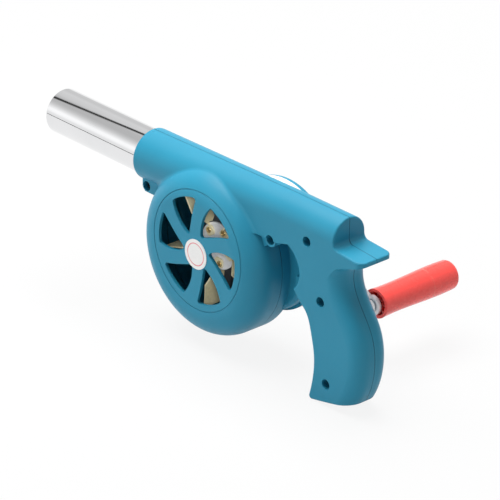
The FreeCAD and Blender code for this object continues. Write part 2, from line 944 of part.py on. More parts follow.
def bush(place, inner, plate_y, plate, flange_side):
    """A flanged bush pressed in a plate, its flange on the given side."""
    outer = inner + bush_wall
    sleeve = ring(place, outer, inner, plate_y, plate_y + plate)
    if flange_side < 0:
        flange = ring(place, outer + bush_flange, inner, plate_y - bush_flange_thick, plate_y)
    else:
        flange = ring(place, outer + bush_flange, inner, plate_y + plate, plate_y + plate + bush_flange_thick)
    return joined([sleeve, flange])


def plate_holes(y0, y1):
    return [
        rod(crank_axis, crank_bush_radius, y0 - 1, y1 + 1),
        rod(fan_axis, fan_bush_radius, y0 - 1, y1 + 1),
        rod(idler_axis, idler_axle_radius, y0 - 1, y1 + 1),
    ]


def gearbox_front_plate():
    """The steel plate behind the impeller, screwed to three posts of the crank half."""
    left, low, high = post_places
    ring_of_places = [left, low, pillar_places[2], pillar_places[1], high]
    y1 = front_plate_y + plate_thick
    plate = rounded_hull(ring_of_places, plate_margin, front_plate_y, y1)
    holes = [rod(place, screw_radius + screw_hole_fit, front_plate_y - 1, y1 + 1) for place in post_places]
    return plate.cut(plate_holes(front_plate_y, y1) + holes)


def gearbox_back_plate():
    """The smaller steel plate inside the gear cover."""
    y1 = back_plate_y + plate_thick
    high, rear, low, front = pillar_places
    plate = rounded_hull([fan_axis, idler_axis, low, rear, high, front], back_plate_margin, back_plate_y, y1)
    return plate.cut(plate_holes(back_plate_y, y1))


def gearbox_pillars():
    """Four spacers that hold the plates apart, with riveted ends."""
    foot = front_plate_y + plate_thick
    return Part.Compound([rod(place, pillar_radius, foot, back_plate_y) for place in pillar_places])


def front_bushes():
    return Part.Compound([
        bush(crank_axis, crank_bore, front_plate_y, plate_thick, 1),
        bush(fan_axis, fan_bore, front_plate_y, plate_thick, 1),
    ])


def back_bushes():
    return Part.Compound([
        bush(crank_axis, crank_bore, back_plate_y, plate_thick, 1),
        bush(fan_axis, fan_bore, back_plate_y, plate_thick, 1),
    ])


def cover_bush():
    """The brass bush in the cover's boss."""
    inner = wall + cover_bush_reach
    return bush(crank_axis, crank_bore, cover_y - inner, inner + cover_boss_height, 1)


def idler_axle():
    """A fixed steel pin, staked in both plates."""
    end = back_plate_y + plate_thick + axle_stake
    return rod(idler_axis, idler_axle_radius, front_plate_y - axle_stake, end)


# Impeller and fan shaft

def fan_shaft():
    """The quick shaft, with a thread for the impeller nut at its front."""
    end = back_plate_y + plate_thick + fan_shaft_rear
    return rod(fan_axis, fan_shaft_radius, disc_y - fan_shaft_front, end)


def impeller_disc():
    """The round steel plate that carries the blades."""
    disc = rod(fan_axis, disc_radius, disc_y - disc_thick, disc_y)
    holes = [rod(fan_axis, fan_shaft_radius, disc_y - disc_thick - 1, disc_y + 1)]
    for step in range(blade_count):
        angle = blade_angle + eyelet_turn + step * 360.0 / blade_count
        holes.append(rod(at_angle(fan_axis, eyelet_circle, angle), eyelet_radius, disc_y - 3, disc_y + 1))
    return disc.cut(holes)


def impeller_hub():
    """The collar behind the disc that grips the shaft."""
    return ring(fan_axis, fan_hub_radius, fan_shaft_radius, disc_y, front_plate_y - bush_flange_thick)


def impeller_nut():
    """A hexagon nut that clamps the disc against its hub."""
    top = disc_y - disc_thick
    places = [at_angle(fan_axis, fan_nut_radius, angle) for angle in range(0, 360, 60)]
    nut = polygon_prism(places, top - fan_nut_height, top)
    return nut.cut(rod(fan_axis, fan_shaft_radius, top - fan_nut_height - 1, top + 1))


def blade(step):
    """One folded sheet blade: a deep vane on edge, necked towards a foot riveted to the disc."""
    foot_y = disc_y - disc_thick
    root_y = foot_y - blade_thick
    side = [
        (blade_root_radius, foot_y),
        (blade_root_radius + 1.0, root_y),
        (blade_neck_radius - 2.0, root_y),
        (blade_neck_radius, blade_neck_front_y),
        (blade_shoulder_radius, blade_front_y),
        (blade_tip_radius, blade_front_y),
        (blade_tip_radius, blade_back_y - blade_corner),
        (blade_tip_radius - blade_corner, blade_back_y),
        (blade_neck_radius + blade_corner, blade_back_y),
        (blade_neck_radius, blade_back_y - blade_corner),
        (blade_neck_radius, foot_y),
    ]
    pairs = zip(side, side[1:] + side[:1])
    vane = Part.Face(Part.Wire([profile_line(a, b) for a, b in pairs])).extrude(V(0, 0, blade_thick))
    offset = eyelet_circle * sin(radians(eyelet_turn))
    along = eyelet_circle * cos(radians(eyelet_turn))
    reach = eyelet_flange_radius + foot_margin
    start = along - eyelet_flange_radius - foot_inner_margin
    foot = block(start, along + reach, foot_y - blade_thick, foot_y, -foot_back, offset + reach)
    corners = edges_where(foot, lambda box: box.YLength > blade_thick / 2)
    foot = foot.makeFillet(foot_round, corners)
    body = joined([vane, foot])
    body = body.cut(Part.makeCylinder(eyelet_radius, 6, V(along, foot_y - 3, offset), V(0, 1, 0)))
    body.rotate(V(0, 0, 0), V(0, 1, 0), -(blade_angle + step * 360.0 / blade_count))
    return body


def impeller_blades():
    return Part.Compound([blade(step) for step in range(blade_count)])


def impeller_eyelets():
    """The hollow rivets that fasten the blades' feet to the disc."""
    top = disc_y - disc_thick - blade_thick
    eyelets = []
    for step in range(blade_count):
        place = at_angle(fan_axis, eyelet_circle, blade_angle + eyelet_turn + step * 360.0 / blade_count)
        shank = rod(place, eyelet_radius, top, disc_y)
        head = rod(place, eyelet_flange_radius, top - eyelet_lip, top)
        tail = rod(place, eyelet_flange_radius, disc_y, disc_y + eyelet_tail)
        bore = rod(place, eyelet_radius - eyelet_wall, top - 2, disc_y + 2)
        eyelets.append(joined([shank, head, tail]).cut(bore))
    return Part.Compound(eyelets)


# Crank

def crank_shaft():
    """The slow shaft: round through its bushes, then a square tenon and a thread."""
    shoulder = arm_inner_y
    tenon_end = arm_inner_y + arm_thick
    body = rod(crank_axis, crank_shaft_radius, front_plate_y, shoulder)
    tenon = block(-tenon_half, tenon_half, shoulder, tenon_end, -tenon_half, tenon_half)
    tenon = tenon.common(rod((0, 0), crank_shaft_radius, shoulder, tenon_end))
    tenon.rotate(V(0, 0, 0), V(0, 1, 0), -arm_angle)
    tenon.translate(point(crank_axis))
    thread = rod(crank_axis, thread_radius, tenon_end, tenon_end + thread_length)
    return joined([body, tenon, thread])


def crank_shaft_clip():
    """The retaining ring that stops the shaft behind the back plate's bush."""
    foot = back_plate_y + plate_thick + bush_flange_thick + shaft_clip_play
    outer = crank_shaft_radius + shaft_clip_band
    clip = ring(crank_axis, outer, crank_shaft_radius, foot, foot + shaft_clip_thick)
    gap = block(0, outer + 1, foot - 1, foot + shaft_clip_thick + 1, -shaft_clip_gap / 2, shaft_clip_gap / 2)
    gap.translate(point(crank_axis))
    return clip.cut(gap)


def crank_arm():
    """A steel strip, cranked outwards in the middle, with a round eye at each end."""
    low = arm_inner_y
    high = arm_outer_y
    start = arm_bend_start
    end = arm_bend_start + arm_bend_length
    slope = hypot(arm_bend_length, high - low)
    lean = arm_thick * (slope - arm_bend_length) / (high - low)
    side = [
        (-arm_hub_radius, low),
        (start, low),
        (end, high),
        (arm_length + arm_eye_radius, high),
        (arm_length + arm_eye_radius, high + arm_thick),
        (end - lean, high + arm_thick),
        (start - lean, low + arm_thick),
        (-arm_hub_radius, low + arm_thick),
    ]
    pairs = zip(side, side[1:] + side[:1])
    face = Part.Face(Part.Wire([profile_line(a, b) for a, b in pairs]))
    face.translate(V(0, 0, -arm_hub_radius))
    strip = face.extrude(V(0, 0, 2 * arm_hub_radius))
    plan = joined([
        rod((0, 0), arm_hub_radius, low - 5, high + 5),
        rod((arm_length, 0), arm_eye_radius, low - 5, high + 5),
        block(0, arm_length, low - 5, high + 5, -arm_half_width, arm_half_width),
    ])
    arm = strip.common(plan)
    square = block(-tenon_half, tenon_half, low - 1, low + arm_thick + 1, -tenon_half, tenon_half)
    square = square.common(rod((0, 0), crank_shaft_radius, low - 1, low + arm_thick + 1))
    arm = arm.cut([square, rod((arm_length, 0), handle_pin_radius, high - 1, high + arm_thick + 1)])
    arm.rotate(V(0, 0, 0), V(0, 1, 0), -arm_angle)
    arm.translate(point(crank_axis))
    return arm


def crank_washer():
    foot = arm_inner_y + arm_thick
    return ring(crank_axis, washer_radius, thread_radius, foot, foot + washer_thick)


def crank_nut():
    """The hexagon nut that holds the arm on the shaft."""
    foot = arm_inner_y + arm_thick + washer_thick
    top = foot + crank_nut_height
    places = [at_angle(crank_axis, crank_nut_radius, angle + arm_angle) for angle in range(0, 360, 60)]
    return polygon_prism(places, foot, top).cut(rod(crank_axis, thread_radius, foot - 1, top + 1))


def handle_pin():
    """The steel pin that the handle turns on, riveted in the arm's outer eye."""
    end = handle_y + handle_length - handle_recess_depth
    start = arm_outer_y - pin_rivet_height
    collar_end = handle_y + pin_collar_reach
    shank = rod(handle_axis, handle_pin_radius, start, end + pin_end_reach)
    rivet = rod(handle_axis, pin_rivet_radius, start, arm_outer_y)
    collar = rod(handle_axis, pin_collar_radius, arm_outer_y + arm_thick, collar_end)
    return joined([shank, rivet, collar])


def handle_clip():
    """The push-on washer in the handle's end recess."""
    foot = handle_y + handle_length - handle_recess_depth + handle_play
    return ring(handle_axis, handle_clip_radius, handle_pin_radius, foot, foot + handle_clip_thick)


def handle_grip():
    """The red sleeve: hollow mouth with ribs, a slim waist, a fuller end and a recess for the clip."""
    low = handle_y
    high = handle_y + handle_length
    outside = [
        (handle_radius, low),
        (handle_waist, low + handle_length * handle_waist_share),
        (handle_belly, low + handle_length * handle_belly_share),
        (handle_end_radius, high - handle_end_round),
    ]
    curve = Part.BSplineCurve()
    curve.interpolate([V(r, y, 0) for r, y in outside])
    flat = handle_end_radius - handle_end_round
    swell = handle_end_round * cos(pi / 4)
    knee = (flat + swell, high - handle_end_round + swell)
    profile = [
        profile_line((0, low), outside[0]),
        curve.toShape(),
        profile_arc(outside[-1], knee, (flat, high)),
        profile_line((flat, high), (0, high)),
        profile_line((0, high), (0, low)),
    ]
    body = turned(handle_axis, profile)
    mouth_radius = handle_waist - handle_wall
    mouth_floor = low + handle_mouth_depth
    mouth = rod(handle_axis, mouth_radius, low - 1, mouth_floor)
    sleeve_foot = low + pin_collar_reach + handle_play
    sleeve = rod(handle_axis, handle_pin_radius + sleeve_wall, sleeve_foot, mouth_floor + 1)
    ribs = []
    for step in range(rib_count):
        rib = block(0, mouth_radius + wall / 4, low + rib_setback, mouth_floor + 1, 0, rib_thick)
        rib.translate(V(0, 0, -rib_thick / 2))
        rib.rotate(V(0, 0, 0), V(0, 1, 0), step * 360.0 / rib_count)
        rib.translate(point(handle_axis))
        ribs.append(rib)
    inner = joined([body.cut(mouth), sleeve] + ribs)
    bore = rod(handle_axis, handle_pin_radius + running_fit, low - 1, high + 1)
    recess = rod(handle_axis, handle_recess_radius, high - handle_recess_depth, high + 1)
    return inner.cut([bore, recess])


def pieces():
    """Every piece of the blower, by name."""
    return {
        "left_shell": left_shell(),
        "right_shell": right_shell(),
        "gear_cover": gear_cover(),
        "cover_label": cover_label(),
        "nozzle_tube": nozzle_tube(),
        "centre_badge": centre_badge(),
        "housing_screws": housing_screws(),
        "gear_cover_screws": gear_cover_screws(),
        "gearbox_front_plate": gearbox_front_plate(),
        "gearbox_back_plate": gearbox_back_plate(),
        "gearbox_pillars": gearbox_pillars(),
        "gearbox_screws": gearbox_screws(),
        "front_plate_bushes": front_bushes(),
        "back_plate_bushes": back_bushes(),
        "cover_bush": cover_bush(),
        "idler_axle": idler_axle(),
        "idler_wheel": idler_wheel(),
        "idler_pinion": idler_pinion(),
        "fan_shaft": fan_shaft(),
        "fan_pinion": fan_pinion(),
        "impeller_hub": impeller_hub(),
        "impeller_disc": impeller_disc(),
        "impeller_blades": impeller_blades(),
        "impeller_eyelets": impeller_eyelets(),
        "impeller_nut": impeller_nut(),
        "crank_shaft": crank_shaft(),
        "crank_shaft_clip": crank_shaft_clip(),
        "crank_gear": crank_gear(),
        "crank_arm": crank_arm(),
        "crank_washer": crank_washer(),
        "crank_nut": crank_nut(),
        "handle_pin": handle_pin(),
        "handle_clip": handle_clip(),
        "handle_grip": handle_grip(),
    }


def main():
    os.makedirs("parts", exist_ok=True)
    for name, shape in pieces().items():
        shape.translate(V(-grip_x, 0, -grip_z))
        shape.exportStep("parts/" + name + ".step")
        print(name, len(shape.Solids), shape.isValid(), round(shape.Volume, 1))


if __name__ == "__main__":
    main()
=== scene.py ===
"""Looks for a hand-cranked air blower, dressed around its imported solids.

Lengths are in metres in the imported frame: the middle of the hand grip is the origin, the nozzle
points to -X, the air intake faces -Y, the crank is on +Y and up is +Z.
"""
from __future__ import annotations

import logging
import math
from dataclasses import dataclass, field
from enum import Enum

import bpy
from mathutils import Matrix, Vector

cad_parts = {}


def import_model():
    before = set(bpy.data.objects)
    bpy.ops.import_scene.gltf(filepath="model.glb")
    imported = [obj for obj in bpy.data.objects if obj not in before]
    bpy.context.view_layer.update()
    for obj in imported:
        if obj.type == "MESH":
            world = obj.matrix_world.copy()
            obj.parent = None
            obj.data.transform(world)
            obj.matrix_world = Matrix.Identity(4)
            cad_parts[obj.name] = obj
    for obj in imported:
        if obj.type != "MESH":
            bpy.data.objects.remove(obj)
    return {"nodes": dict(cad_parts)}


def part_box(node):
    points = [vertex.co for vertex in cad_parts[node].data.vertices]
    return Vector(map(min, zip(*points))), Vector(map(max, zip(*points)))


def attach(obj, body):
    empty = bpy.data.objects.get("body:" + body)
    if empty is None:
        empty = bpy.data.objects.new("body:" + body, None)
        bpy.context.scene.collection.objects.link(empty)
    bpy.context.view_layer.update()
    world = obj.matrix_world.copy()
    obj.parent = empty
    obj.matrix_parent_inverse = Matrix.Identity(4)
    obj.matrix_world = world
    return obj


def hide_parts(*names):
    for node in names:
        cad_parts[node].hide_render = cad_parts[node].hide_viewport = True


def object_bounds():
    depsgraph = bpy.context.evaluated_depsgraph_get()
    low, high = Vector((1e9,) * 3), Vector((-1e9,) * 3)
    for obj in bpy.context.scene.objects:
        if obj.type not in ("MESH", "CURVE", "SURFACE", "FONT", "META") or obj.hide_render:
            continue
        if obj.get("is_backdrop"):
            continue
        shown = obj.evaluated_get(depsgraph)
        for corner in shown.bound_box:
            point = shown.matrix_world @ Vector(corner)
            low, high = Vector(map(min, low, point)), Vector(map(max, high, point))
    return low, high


log = logging.getLogger("blower")

Colour = tuple[float, float, float]
Place = tuple[float, float, float]
Socket = bpy.types.NodeSocket

BLACK: Colour = (0.0, 0.0, 0.0)
WHITE: Colour = (1.0, 1.0, 1.0)


class Axis(Enum):
    """The turning lines of the blower, as (x, z) in metres; all of them run along Y."""

    FAN = (-0.113, 0.025)
    CRANK = (-0.088, 0.028)
    IDLER = (-0.100053, 0.005869)
    HANDLE = (-0.027731, -0.000104)


# Node trees


class Graph:
    """Short calls for any node tree."""

    def __init__(self, tree: bpy.types.NodeTree) -> None:
        """Starts on a tree and empties it.

        Args:
            tree: The tree.
        """
        self.tree = tree
        tree.nodes.clear()

    def feed(self, socket: Socket, value: object) -> None:
        """Links a result to an input, or sets a constant on it.

        Args:
            socket: The input.
            value: An output of another node, or the constant.
        """
        if isinstance(value, Socket):
            self.tree.links.new(value, socket)
        else:
            socket.default_value = value

    def add(self, kind: str, settings: dict[str, object] | None = None,
            **sockets: object) -> bpy.types.Node:
        """Adds a node and fills its inputs.

        Args:
            kind: The node's type name.
            settings: Properties of the node.
            sockets: Input names with underscores for spaces, and what goes there.

        Returns:
            The new node.
        """
        node = self.tree.nodes.new(kind)
        for name, value in (settings or {}).items():
            setattr(node, name, value)
        for name, value in sockets.items():
            self.feed(node.inputs[name.replace("_", " ")], value)
        return node

    def row(self, node: bpy.types.Node, *values: object) -> bpy.types.Node:
        """Fills a node's inputs in their own order.

        Args:
            node: The node.
            values: What goes into its first inputs.

        Returns:
            The same node.
        """
        for socket, value in zip(node.inputs, values):
            self.feed(socket, value)
        return node

    def math(self, way: str, *values: object) -> Socket:
        """One step of arithmetic.

        Args:
            way: The operation's name.
            values: One or two sockets or numbers.

        Returns:
            The result.
        """
        return self.row(self.add("ShaderNodeMath", {"operation": way}), *values).outputs[0]

    def vector(self, way: str, *values: object) -> bpy.types.Node:
        """One step of arithmetic on vectors.

        Args:
            way: The operation's name.
            values: One or two sockets or vectors.

        Returns:
            The node, whose outputs are Vector and Value.
        """
        return self.row(self.add("ShaderNodeVectorMath", {"operation": way}), *values)

    def spread(self, value: Socket, low: float, high: float, start: float = 0.3,
               end: float = 0.7) -> Socket:
        """Stretches a value to a range, without going past it.

        Args:
            value: What is stretched.
            low: The result at the start.
            high: The result at the end.
            start: The value that gives low.
            end: The value that gives high.

        Returns:
            The stretched value.
        """
        return self.add("ShaderNodeMapRange", Value=value, From_Min=start, From_Max=end,
                        To_Min=low, To_Max=high).outputs[0]

    def rays(self, *kinds: str) -> Socket:
        """Tells some kinds of rays from the rest.

        Args:
            kinds: Names of the light path's outputs.

        Returns:
            1 for rays of these kinds and 0 for all others.
        """
        path = self.add("ShaderNodeLightPath")
        total, *others = (path.outputs[kind] for kind in kinds)
        for other in others:
            total = self.math("MAXIMUM", total, other)
        return total


# Materials


@dataclass(frozen=True)
class Patches:
    """Soft random patches: how many to a metre, their finer layers, and the range they cover."""

    scale: float
    detail: float = 3.0
    rough: float = 0.55
    low: float = 0.0
    high: float = 1.0
    start: float = 0.3
    end: float = 0.7


@dataclass(frozen=True)
class Edge:
    """Edges that are rounded for the light and painted to another colour: rubbing wear, and on the
    plastics partly a painted highlight.
    """

    width: float
    share: float
    colour: Colour
    scuffs: Patches | None = None


@dataclass(frozen=True)
class Line:
    """A thin line round a piece, at one place on an axis, broken up by patches."""

    axis: str
    place: Place
    core: float
    half: float
    colour: Colour
    patches: Patches
    strength: float = 1.0


class Recipe(Graph):
    """One material's node tree, which ends in a Principled shader."""

    BEVEL_SAMPLES = 6
    SHARP_TURN, FLAT_TURN = 0.72, 0.985
    SHADE_SAMPLES = 8
    SHADE_MOST = 0.85
    SHUT, OPEN = 0.1, 0.45
    MIX_COLOURS, MIX_RESULT = (6, 7), 2

    def __init__(self, name: str) -> None:
        """Starts a material.

        Args:
            name: What the material is called.
        """
        self.material = bpy.data.materials.new(name)
        self.material.use_nodes = True
        super().__init__(self.material.node_tree)
        self.shader = self.add("ShaderNodeBsdfPrincipled")
        self.add("ShaderNodeOutputMaterial", Surface=self.shader.outputs["BSDF"])
        self.place = self.add("ShaderNodeTexCoord").outputs["Object"]

    def moved(self, centre: Place = (0, 0, 0), turn: Place = (0, 0, 0),
              scale: Place = (1, 1, 1)) -> Socket:
        """Object coordinates measured from a centre, turned and stretched.

        Args:
            centre: The point that becomes zero, in metres.
            turn: A turn about each axis, in radians.
            scale: A stretch along each axis.

        Returns:
            The coordinates.
        """
        shift = self.vector("SUBTRACT", self.place, centre).outputs[0]
        return self.add("ShaderNodeMapping", Vector=shift, Rotation=turn, Scale=scale).outputs[0]

    def split(self, centre: Place = (0, 0, 0)) -> bpy.types.bpy_prop_collection:
        """Object coordinates measured from a centre, as outputs X, Y and Z.

        Args:
            centre: The point that becomes zero, in metres.

        Returns:
            The three outputs, by name.
        """
        return self.add("ShaderNodeSeparateXYZ", Vector=self.moved(centre)).outputs

    def noise(self, look: Patches, at: Socket | None = None) -> Socket:
        """Random patches before they are stretched.

        Args:
            look: The patches.
            at: The coordinates, or the plain object ones.

        Returns:
            A value round 0.5.
        """
        return self.add("ShaderNodeTexNoise", Vector=at or self.place, Scale=look.scale,
                        Detail=look.detail, Roughness=look.rough).outputs[0]

    def patches(self, look: Patches) -> Socket:
        """Random patches over the range that they name."""
        return self.spread(self.noise(look), look.low, look.high, look.start, look.end)

    def cells(self, scale: float) -> Socket:
        """Crystal-like cells, each with a shade of its own.

        Args:
            scale: Cells per metre.

        Returns:
            A colour with a random value for each cell.
        """
        return self.add("ShaderNodeTexVoronoi", Vector=self.place, Scale=scale).outputs["Color"]

    def turning_marks(self, axis: Axis, pitch: float) -> Socket:
        """Fine rings round an axis along Y, as a lathe leaves them.

        Args:
            axis: The axis.
            pitch: How far apart the rings are, in metres.

        Returns:
            A value between 0 and 1.
        """
        x, z = axis.value
        split = self.split((x, 0, z))
        flat = self.add("ShaderNodeCombineXYZ", X=split["X"], Y=split["Z"])
        reach = self.vector("LENGTH", flat.outputs[0]).outputs["Value"]
        return self.math("FRACT", self.math("DIVIDE", self.math("ADD", reach, split["Y"]), pitch))

    def ramp(self, value: Socket, stops: tuple[tuple[float, float], ...]) -> Socket:
        """Greys that follow a value through a row of stops.

        Args:
            value: What runs along the stops.
            stops: Pairs of a value and its brightness, in rising order.

        Returns:
            The grey.
        """
        first, last = stops[0][0], stops[-1][0]
        node = self.row(self.add("ShaderNodeValToRGB"), self.spread(value, 0.0, 1.0, first, last))
        marks = node.color_ramp.elements
        while len(marks) < len(stops):
            marks.new(1.0)
        for mark, (place, shade) in zip(marks, stops):
            mark.position = (place - first) / (last - first)
            mark.color = (shade, shade, shade, 1.0)
        return node.outputs[0]

    def blend(self, share: Socket, first: Socket | Colour, second: Socket | Colour) -> Socket:
        """Goes from one colour to another.

        Args:
            share: 0 for the first colour and 1 for the second.
            first: A colour or a socket.
            second: A colour or a socket.

        Returns:
            The mixed colour.
        """
        node = self.row(self.add("ShaderNodeMix", {"data_type": "RGBA"}), share)
        for number, side in zip(self.MIX_COLOURS, (first, second)):
            self.feed(node.inputs[number], (*side, 1.0) if isinstance(side, tuple) else side)
        return node.outputs[self.MIX_RESULT]

    def edges(self, width: float) -> tuple[Socket, Socket]:
        """Rounds sharp edges for the light, and finds them.

        Args:
            width: How wide the rounding is, in metres.

        Returns:
            The rounded normal, and a value that is 0 on flat places and rises on edges.
        """
        soft = self.add("ShaderNodeBevel", {"samples": self.BEVEL_SAMPLES}, Radius=width).outputs[0]
        plain = self.add("ShaderNodeNewGeometry").outputs["Normal"]
        turn = self.vector("DOT_PRODUCT", soft, plain).outputs["Value"]
        return soft, self.spread(turn, 1.0, 0.0, self.SHARP_TURN, self.FLAT_TURN)

    def edge_wear_and_highlight(self, edge: Edge, body: Socket) -> tuple[Socket, Socket]:
        """Rounds the edges and paints them their own colour, which stands for wear and, on the
        plastics, partly for a painted highlight.

        Args:
            edge: How the edges look.
            body: The colour everywhere else.

        Returns:
            The rounded normal and the colour.
        """
        soft, found = self.edges(edge.width)
        if edge.scuffs is not None:
            found = self.math("MULTIPLY", found, self.patches(edge.scuffs))
        return soft, self.blend(self.math("MULTIPLY", found, edge.share), body, edge.colour)

    def lined(self, line: Line, body: Socket) -> Socket:
        """Draws a thin line on a colour.

        Args:
            line: The line.
            body: The colour under it.

        Returns:
            The colour with the line.
        """
        off = self.math("ABSOLUTE", self.split(line.place)[line.axis])
        near = self.spread(off, line.strength, 0.0, line.core, line.half)
        share = self.math("MULTIPLY", near, self.patches(line.patches))
        return self.blend(share, body, line.colour)

    def painted_hollow_shade(self, reach: float) -> Socket:
        """Finds deep narrow places, where it paints shade.

        Args:
            reach: How far away a wall may be to count, in metres.

        Returns:
            A value that is 0 in the open and rises in holes.
        """
        samples = {"samples": self.SHADE_SAMPLES}
        light = self.add("ShaderNodeAmbientOcclusion", samples, Distance=reach).outputs["AO"]
        return self.spread(light, self.SHADE_MOST, 0.0, self.SHUT, self.OPEN)

    def bump(self, height: Socket, depth: float, strength: float = 0.5,
             normal: Socket | None = None) -> Socket:
        """Turns a height into a bumpy normal.

        Args:
            height: The height, from 0 to 1.
            depth: What 1 stands for, in metres.
            strength: The share of the effect.
            normal: A normal to start from.

        Returns:
            The normal.
        """
        start = {} if normal is None else {"Normal": normal}
        return self.add("ShaderNodeBump", Height=height, Distance=depth, Strength=strength,
                        **start).outputs[0]

    def send(self, **sockets: object) -> bpy.types.Material:
        """Fills the shader's inputs.

        Args:
            sockets: Shader socket names with underscores for spaces, and what goes there.

        Returns:
            The finished material.
        """
        for name, value in sockets.items():
            self.feed(self.shader.inputs[name.replace("_", " ")], value)
        return self.material


@dataclass(frozen=True)
class MouldedPlastic:
    """Injection-moulded plastic with a fine spark grain and faint flow clouds."""

    name: str
    colour: Colour
    cloud: Colour
    edge: Edge
    sheen: Patches = Patches(160.0, 5.0, 0.65, 0.36, 0.46)
    grain: Patches = Patches(1400.0, 2.0)
    grain_depth: float = 0.00003
    coat: float = 0.0
    coat_roughness: float = 0.12
    specular: float = 0.22
    clouds: Patches = Patches(28.0, 4.0)
    lines: tuple[Line, ...] = ()
    # painted shade: how far a wall may be for a hollow to count, and the dark colour painted into
    # deep narrow hollows
    hollow_shade_reach: float = 0.0
    hollow: Colour = (0.003, 0.018, 0.030)

    def material(self) -> bpy.types.Material:
        """Builds the material."""
        mix = Recipe(self.name)
        body = mix.blend(mix.patches(self.clouds), self.colour, self.cloud)
        soft, colour = mix.edge_wear_and_highlight(self.edge, body)
        for line in self.lines:
            colour = mix.lined(line, colour)
        # painted shade: deep narrow hollows are darkened towards the hollow colour
        if self.hollow_shade_reach > 0:
            colour = mix.blend(mix.painted_hollow_shade(self.hollow_shade_reach), colour, self.hollow)
        return mix.send(
            Base_Color=colour, Roughness=mix.patches(self.sheen),
            Normal=mix.bump(mix.noise(self.grain), self.grain_depth, normal=soft),
            Coat_Weight=self.coat, Coat_Roughness=self.coat_roughness,
            Specular_IOR_Level=self.specular)


@dataclass(frozen=True)
class PolishedTube:
    """Bright-rolled steel tube: mirror-like, with hairlines along it and a dark line round its
    groove.
    """

    name: str
    colour: Colour = (0.80, 0.80, 0.81)
    tint: Colour = (0.77, 0.775, 0.785)
    hairs: Patches = Patches(1.0, 3.0, 0.7)
    hair_stretch: Place = (6.0, 900.0, 900.0)
    hair_roughness: tuple[float, float] = (0.02, 0.07)
    hair_depth: float = 0.000004
    hair_share: float = 0.4
    smudges: Patches = Patches(55.0, 4.0)
    smudge_roughness: Patches = Patches(55.0, 4.0, high=0.02, start=0.5, end=0.8)
    edge_width: float = 0.0003
    groove: Line = Line("X", (-0.1818, 0.0, 0.0), 0.00064, 0.0008, (0.012, 0.014, 0.016),
                        Patches(300.0, low=0.8))

    def material(self) -> bpy.types.Material:
        """Builds the material."""
        mix = Recipe(self.name)
        hairs = mix.noise(self.hairs, mix.moved(scale=self.hair_stretch))
        body = mix.blend(mix.patches(self.smudges), self.colour, self.tint)
        rough = mix.math("ADD", mix.spread(hairs, *self.hair_roughness),
                         mix.patches(self.smudge_roughness))
        soft, _ = mix.edges(self.edge_width)
        return mix.send(Base_Color=mix.lined(self.groove, body), Roughness=rough, Metallic=1.0,
                        Normal=mix.bump(hairs, self.hair_depth, self.hair_share, soft))


@dataclass(frozen=True)
class PlatedSheet:
    """Stamped sheet steel with a thin zinc plating: rolling hairlines, spangle and dull patches."""

    name: str
    colour: Colour
    tint: Colour
    roughness: tuple[float, float] = (0.26, 0.44)
    grain_turn: float = 0.0
    metallic: float = 1.0
    rolled: Patches = Patches(1.0, 4.0, 0.7)
    rolled_stretch: Place = (60, 400, 1800)
    rolled_depth: float = 0.00001
    spangles: float = 520.0
    spangle_shade: float = 0.86
    stains: Patches = Patches(110.0, 5.0, start=0.4, end=0.75)
    stain_roughness: float = 0.08
    edge: Edge = Edge(0.0003, 0.5, (0.86, 0.86, 0.85))

    def material(self) -> bpy.types.Material:
        """Builds the material."""
        mix = Recipe(self.name)
        turned = mix.moved(turn=(0, self.grain_turn, 0), scale=self.rolled_stretch)
        rolled = mix.noise(self.rolled, turned)
        stain = mix.patches(self.stains)
        shade = mix.spread(mix.cells(self.spangles), self.spangle_shade, 1.0, 0.0, 1.0)
        plate = mix.blend(shade, BLACK, mix.blend(stain, self.colour, self.tint))
        soft, colour = mix.edge_wear_and_highlight(self.edge, plate)
        rough = mix.math("ADD", mix.spread(rolled, *self.roughness),
                         mix.spread(stain, 0.0, self.stain_roughness, 0.0, 1.0))
        return mix.send(Base_Color=colour, Roughness=rough, Metallic=self.metallic,
                        Normal=mix.bump(rolled, self.rolled_depth, normal=soft))


@dataclass(frozen=True)
class TurnedMetal:
    """Metal from the lathe: fine rings round its axis, with bright edges."""

    name: str
    axis: Axis
    colour: Colour
    tint: Colour
    pitch: float = 0.00022
    ring_depth: float = 0.000008
    ring_share: float = 0.35
    stains: Patches = Patches(260.0, 4.0)
    sheen: Patches = Patches(700.0, low=0.2, high=0.36)
    edge: Edge = Edge(0.0002, 0.5, (0.9, 0.89, 0.87))

    def material(self) -> bpy.types.Material:
        """Builds the material."""
        mix = Recipe(self.name)
        rings = mix.turning_marks(self.axis, self.pitch)
        body = mix.blend(mix.patches(self.stains), self.colour, self.tint)
        soft, colour = mix.edge_wear_and_highlight(self.edge, body)
        return mix.send(Base_Color=colour, Roughness=mix.patches(self.sheen), Metallic=1.0,
                        Normal=mix.bump(rings, self.ring_depth, self.ring_share, soft))


@dataclass(frozen=True)
class BlackenedScrew:
    """Blackened steel, worn bright on its edges and in its drive."""

    name: str
    colour: Colour = (0.018, 0.020, 0.022)
    rust: Colour = (0.07, 0.06, 0.055)
    rusted: Patches = Patches(900.0, 4.0, start=0.5, end=0.8)
    sheen: Patches = Patches(1200.0, low=0.32, high=0.55)
    grain: Patches = Patches(2500.0, 2.0)
    grain_depth: float = 0.00001
    edge: Edge = Edge(0.0002, 0.3, (0.20, 0.20, 0.20))

    def material(self) -> bpy.types.Material:
        """Builds the material."""
        mix = Recipe(self.name)
        body = mix.blend(mix.patches(self.rusted), self.colour, self.rust)
        soft, colour = mix.edge_wear_and_highlight(self.edge, body)
        return mix.send(Base_Color=colour, Roughness=mix.patches(self.sheen), Metallic=1.0,
                        Normal=mix.bump(mix.noise(self.grain), self.grain_depth, normal=soft))


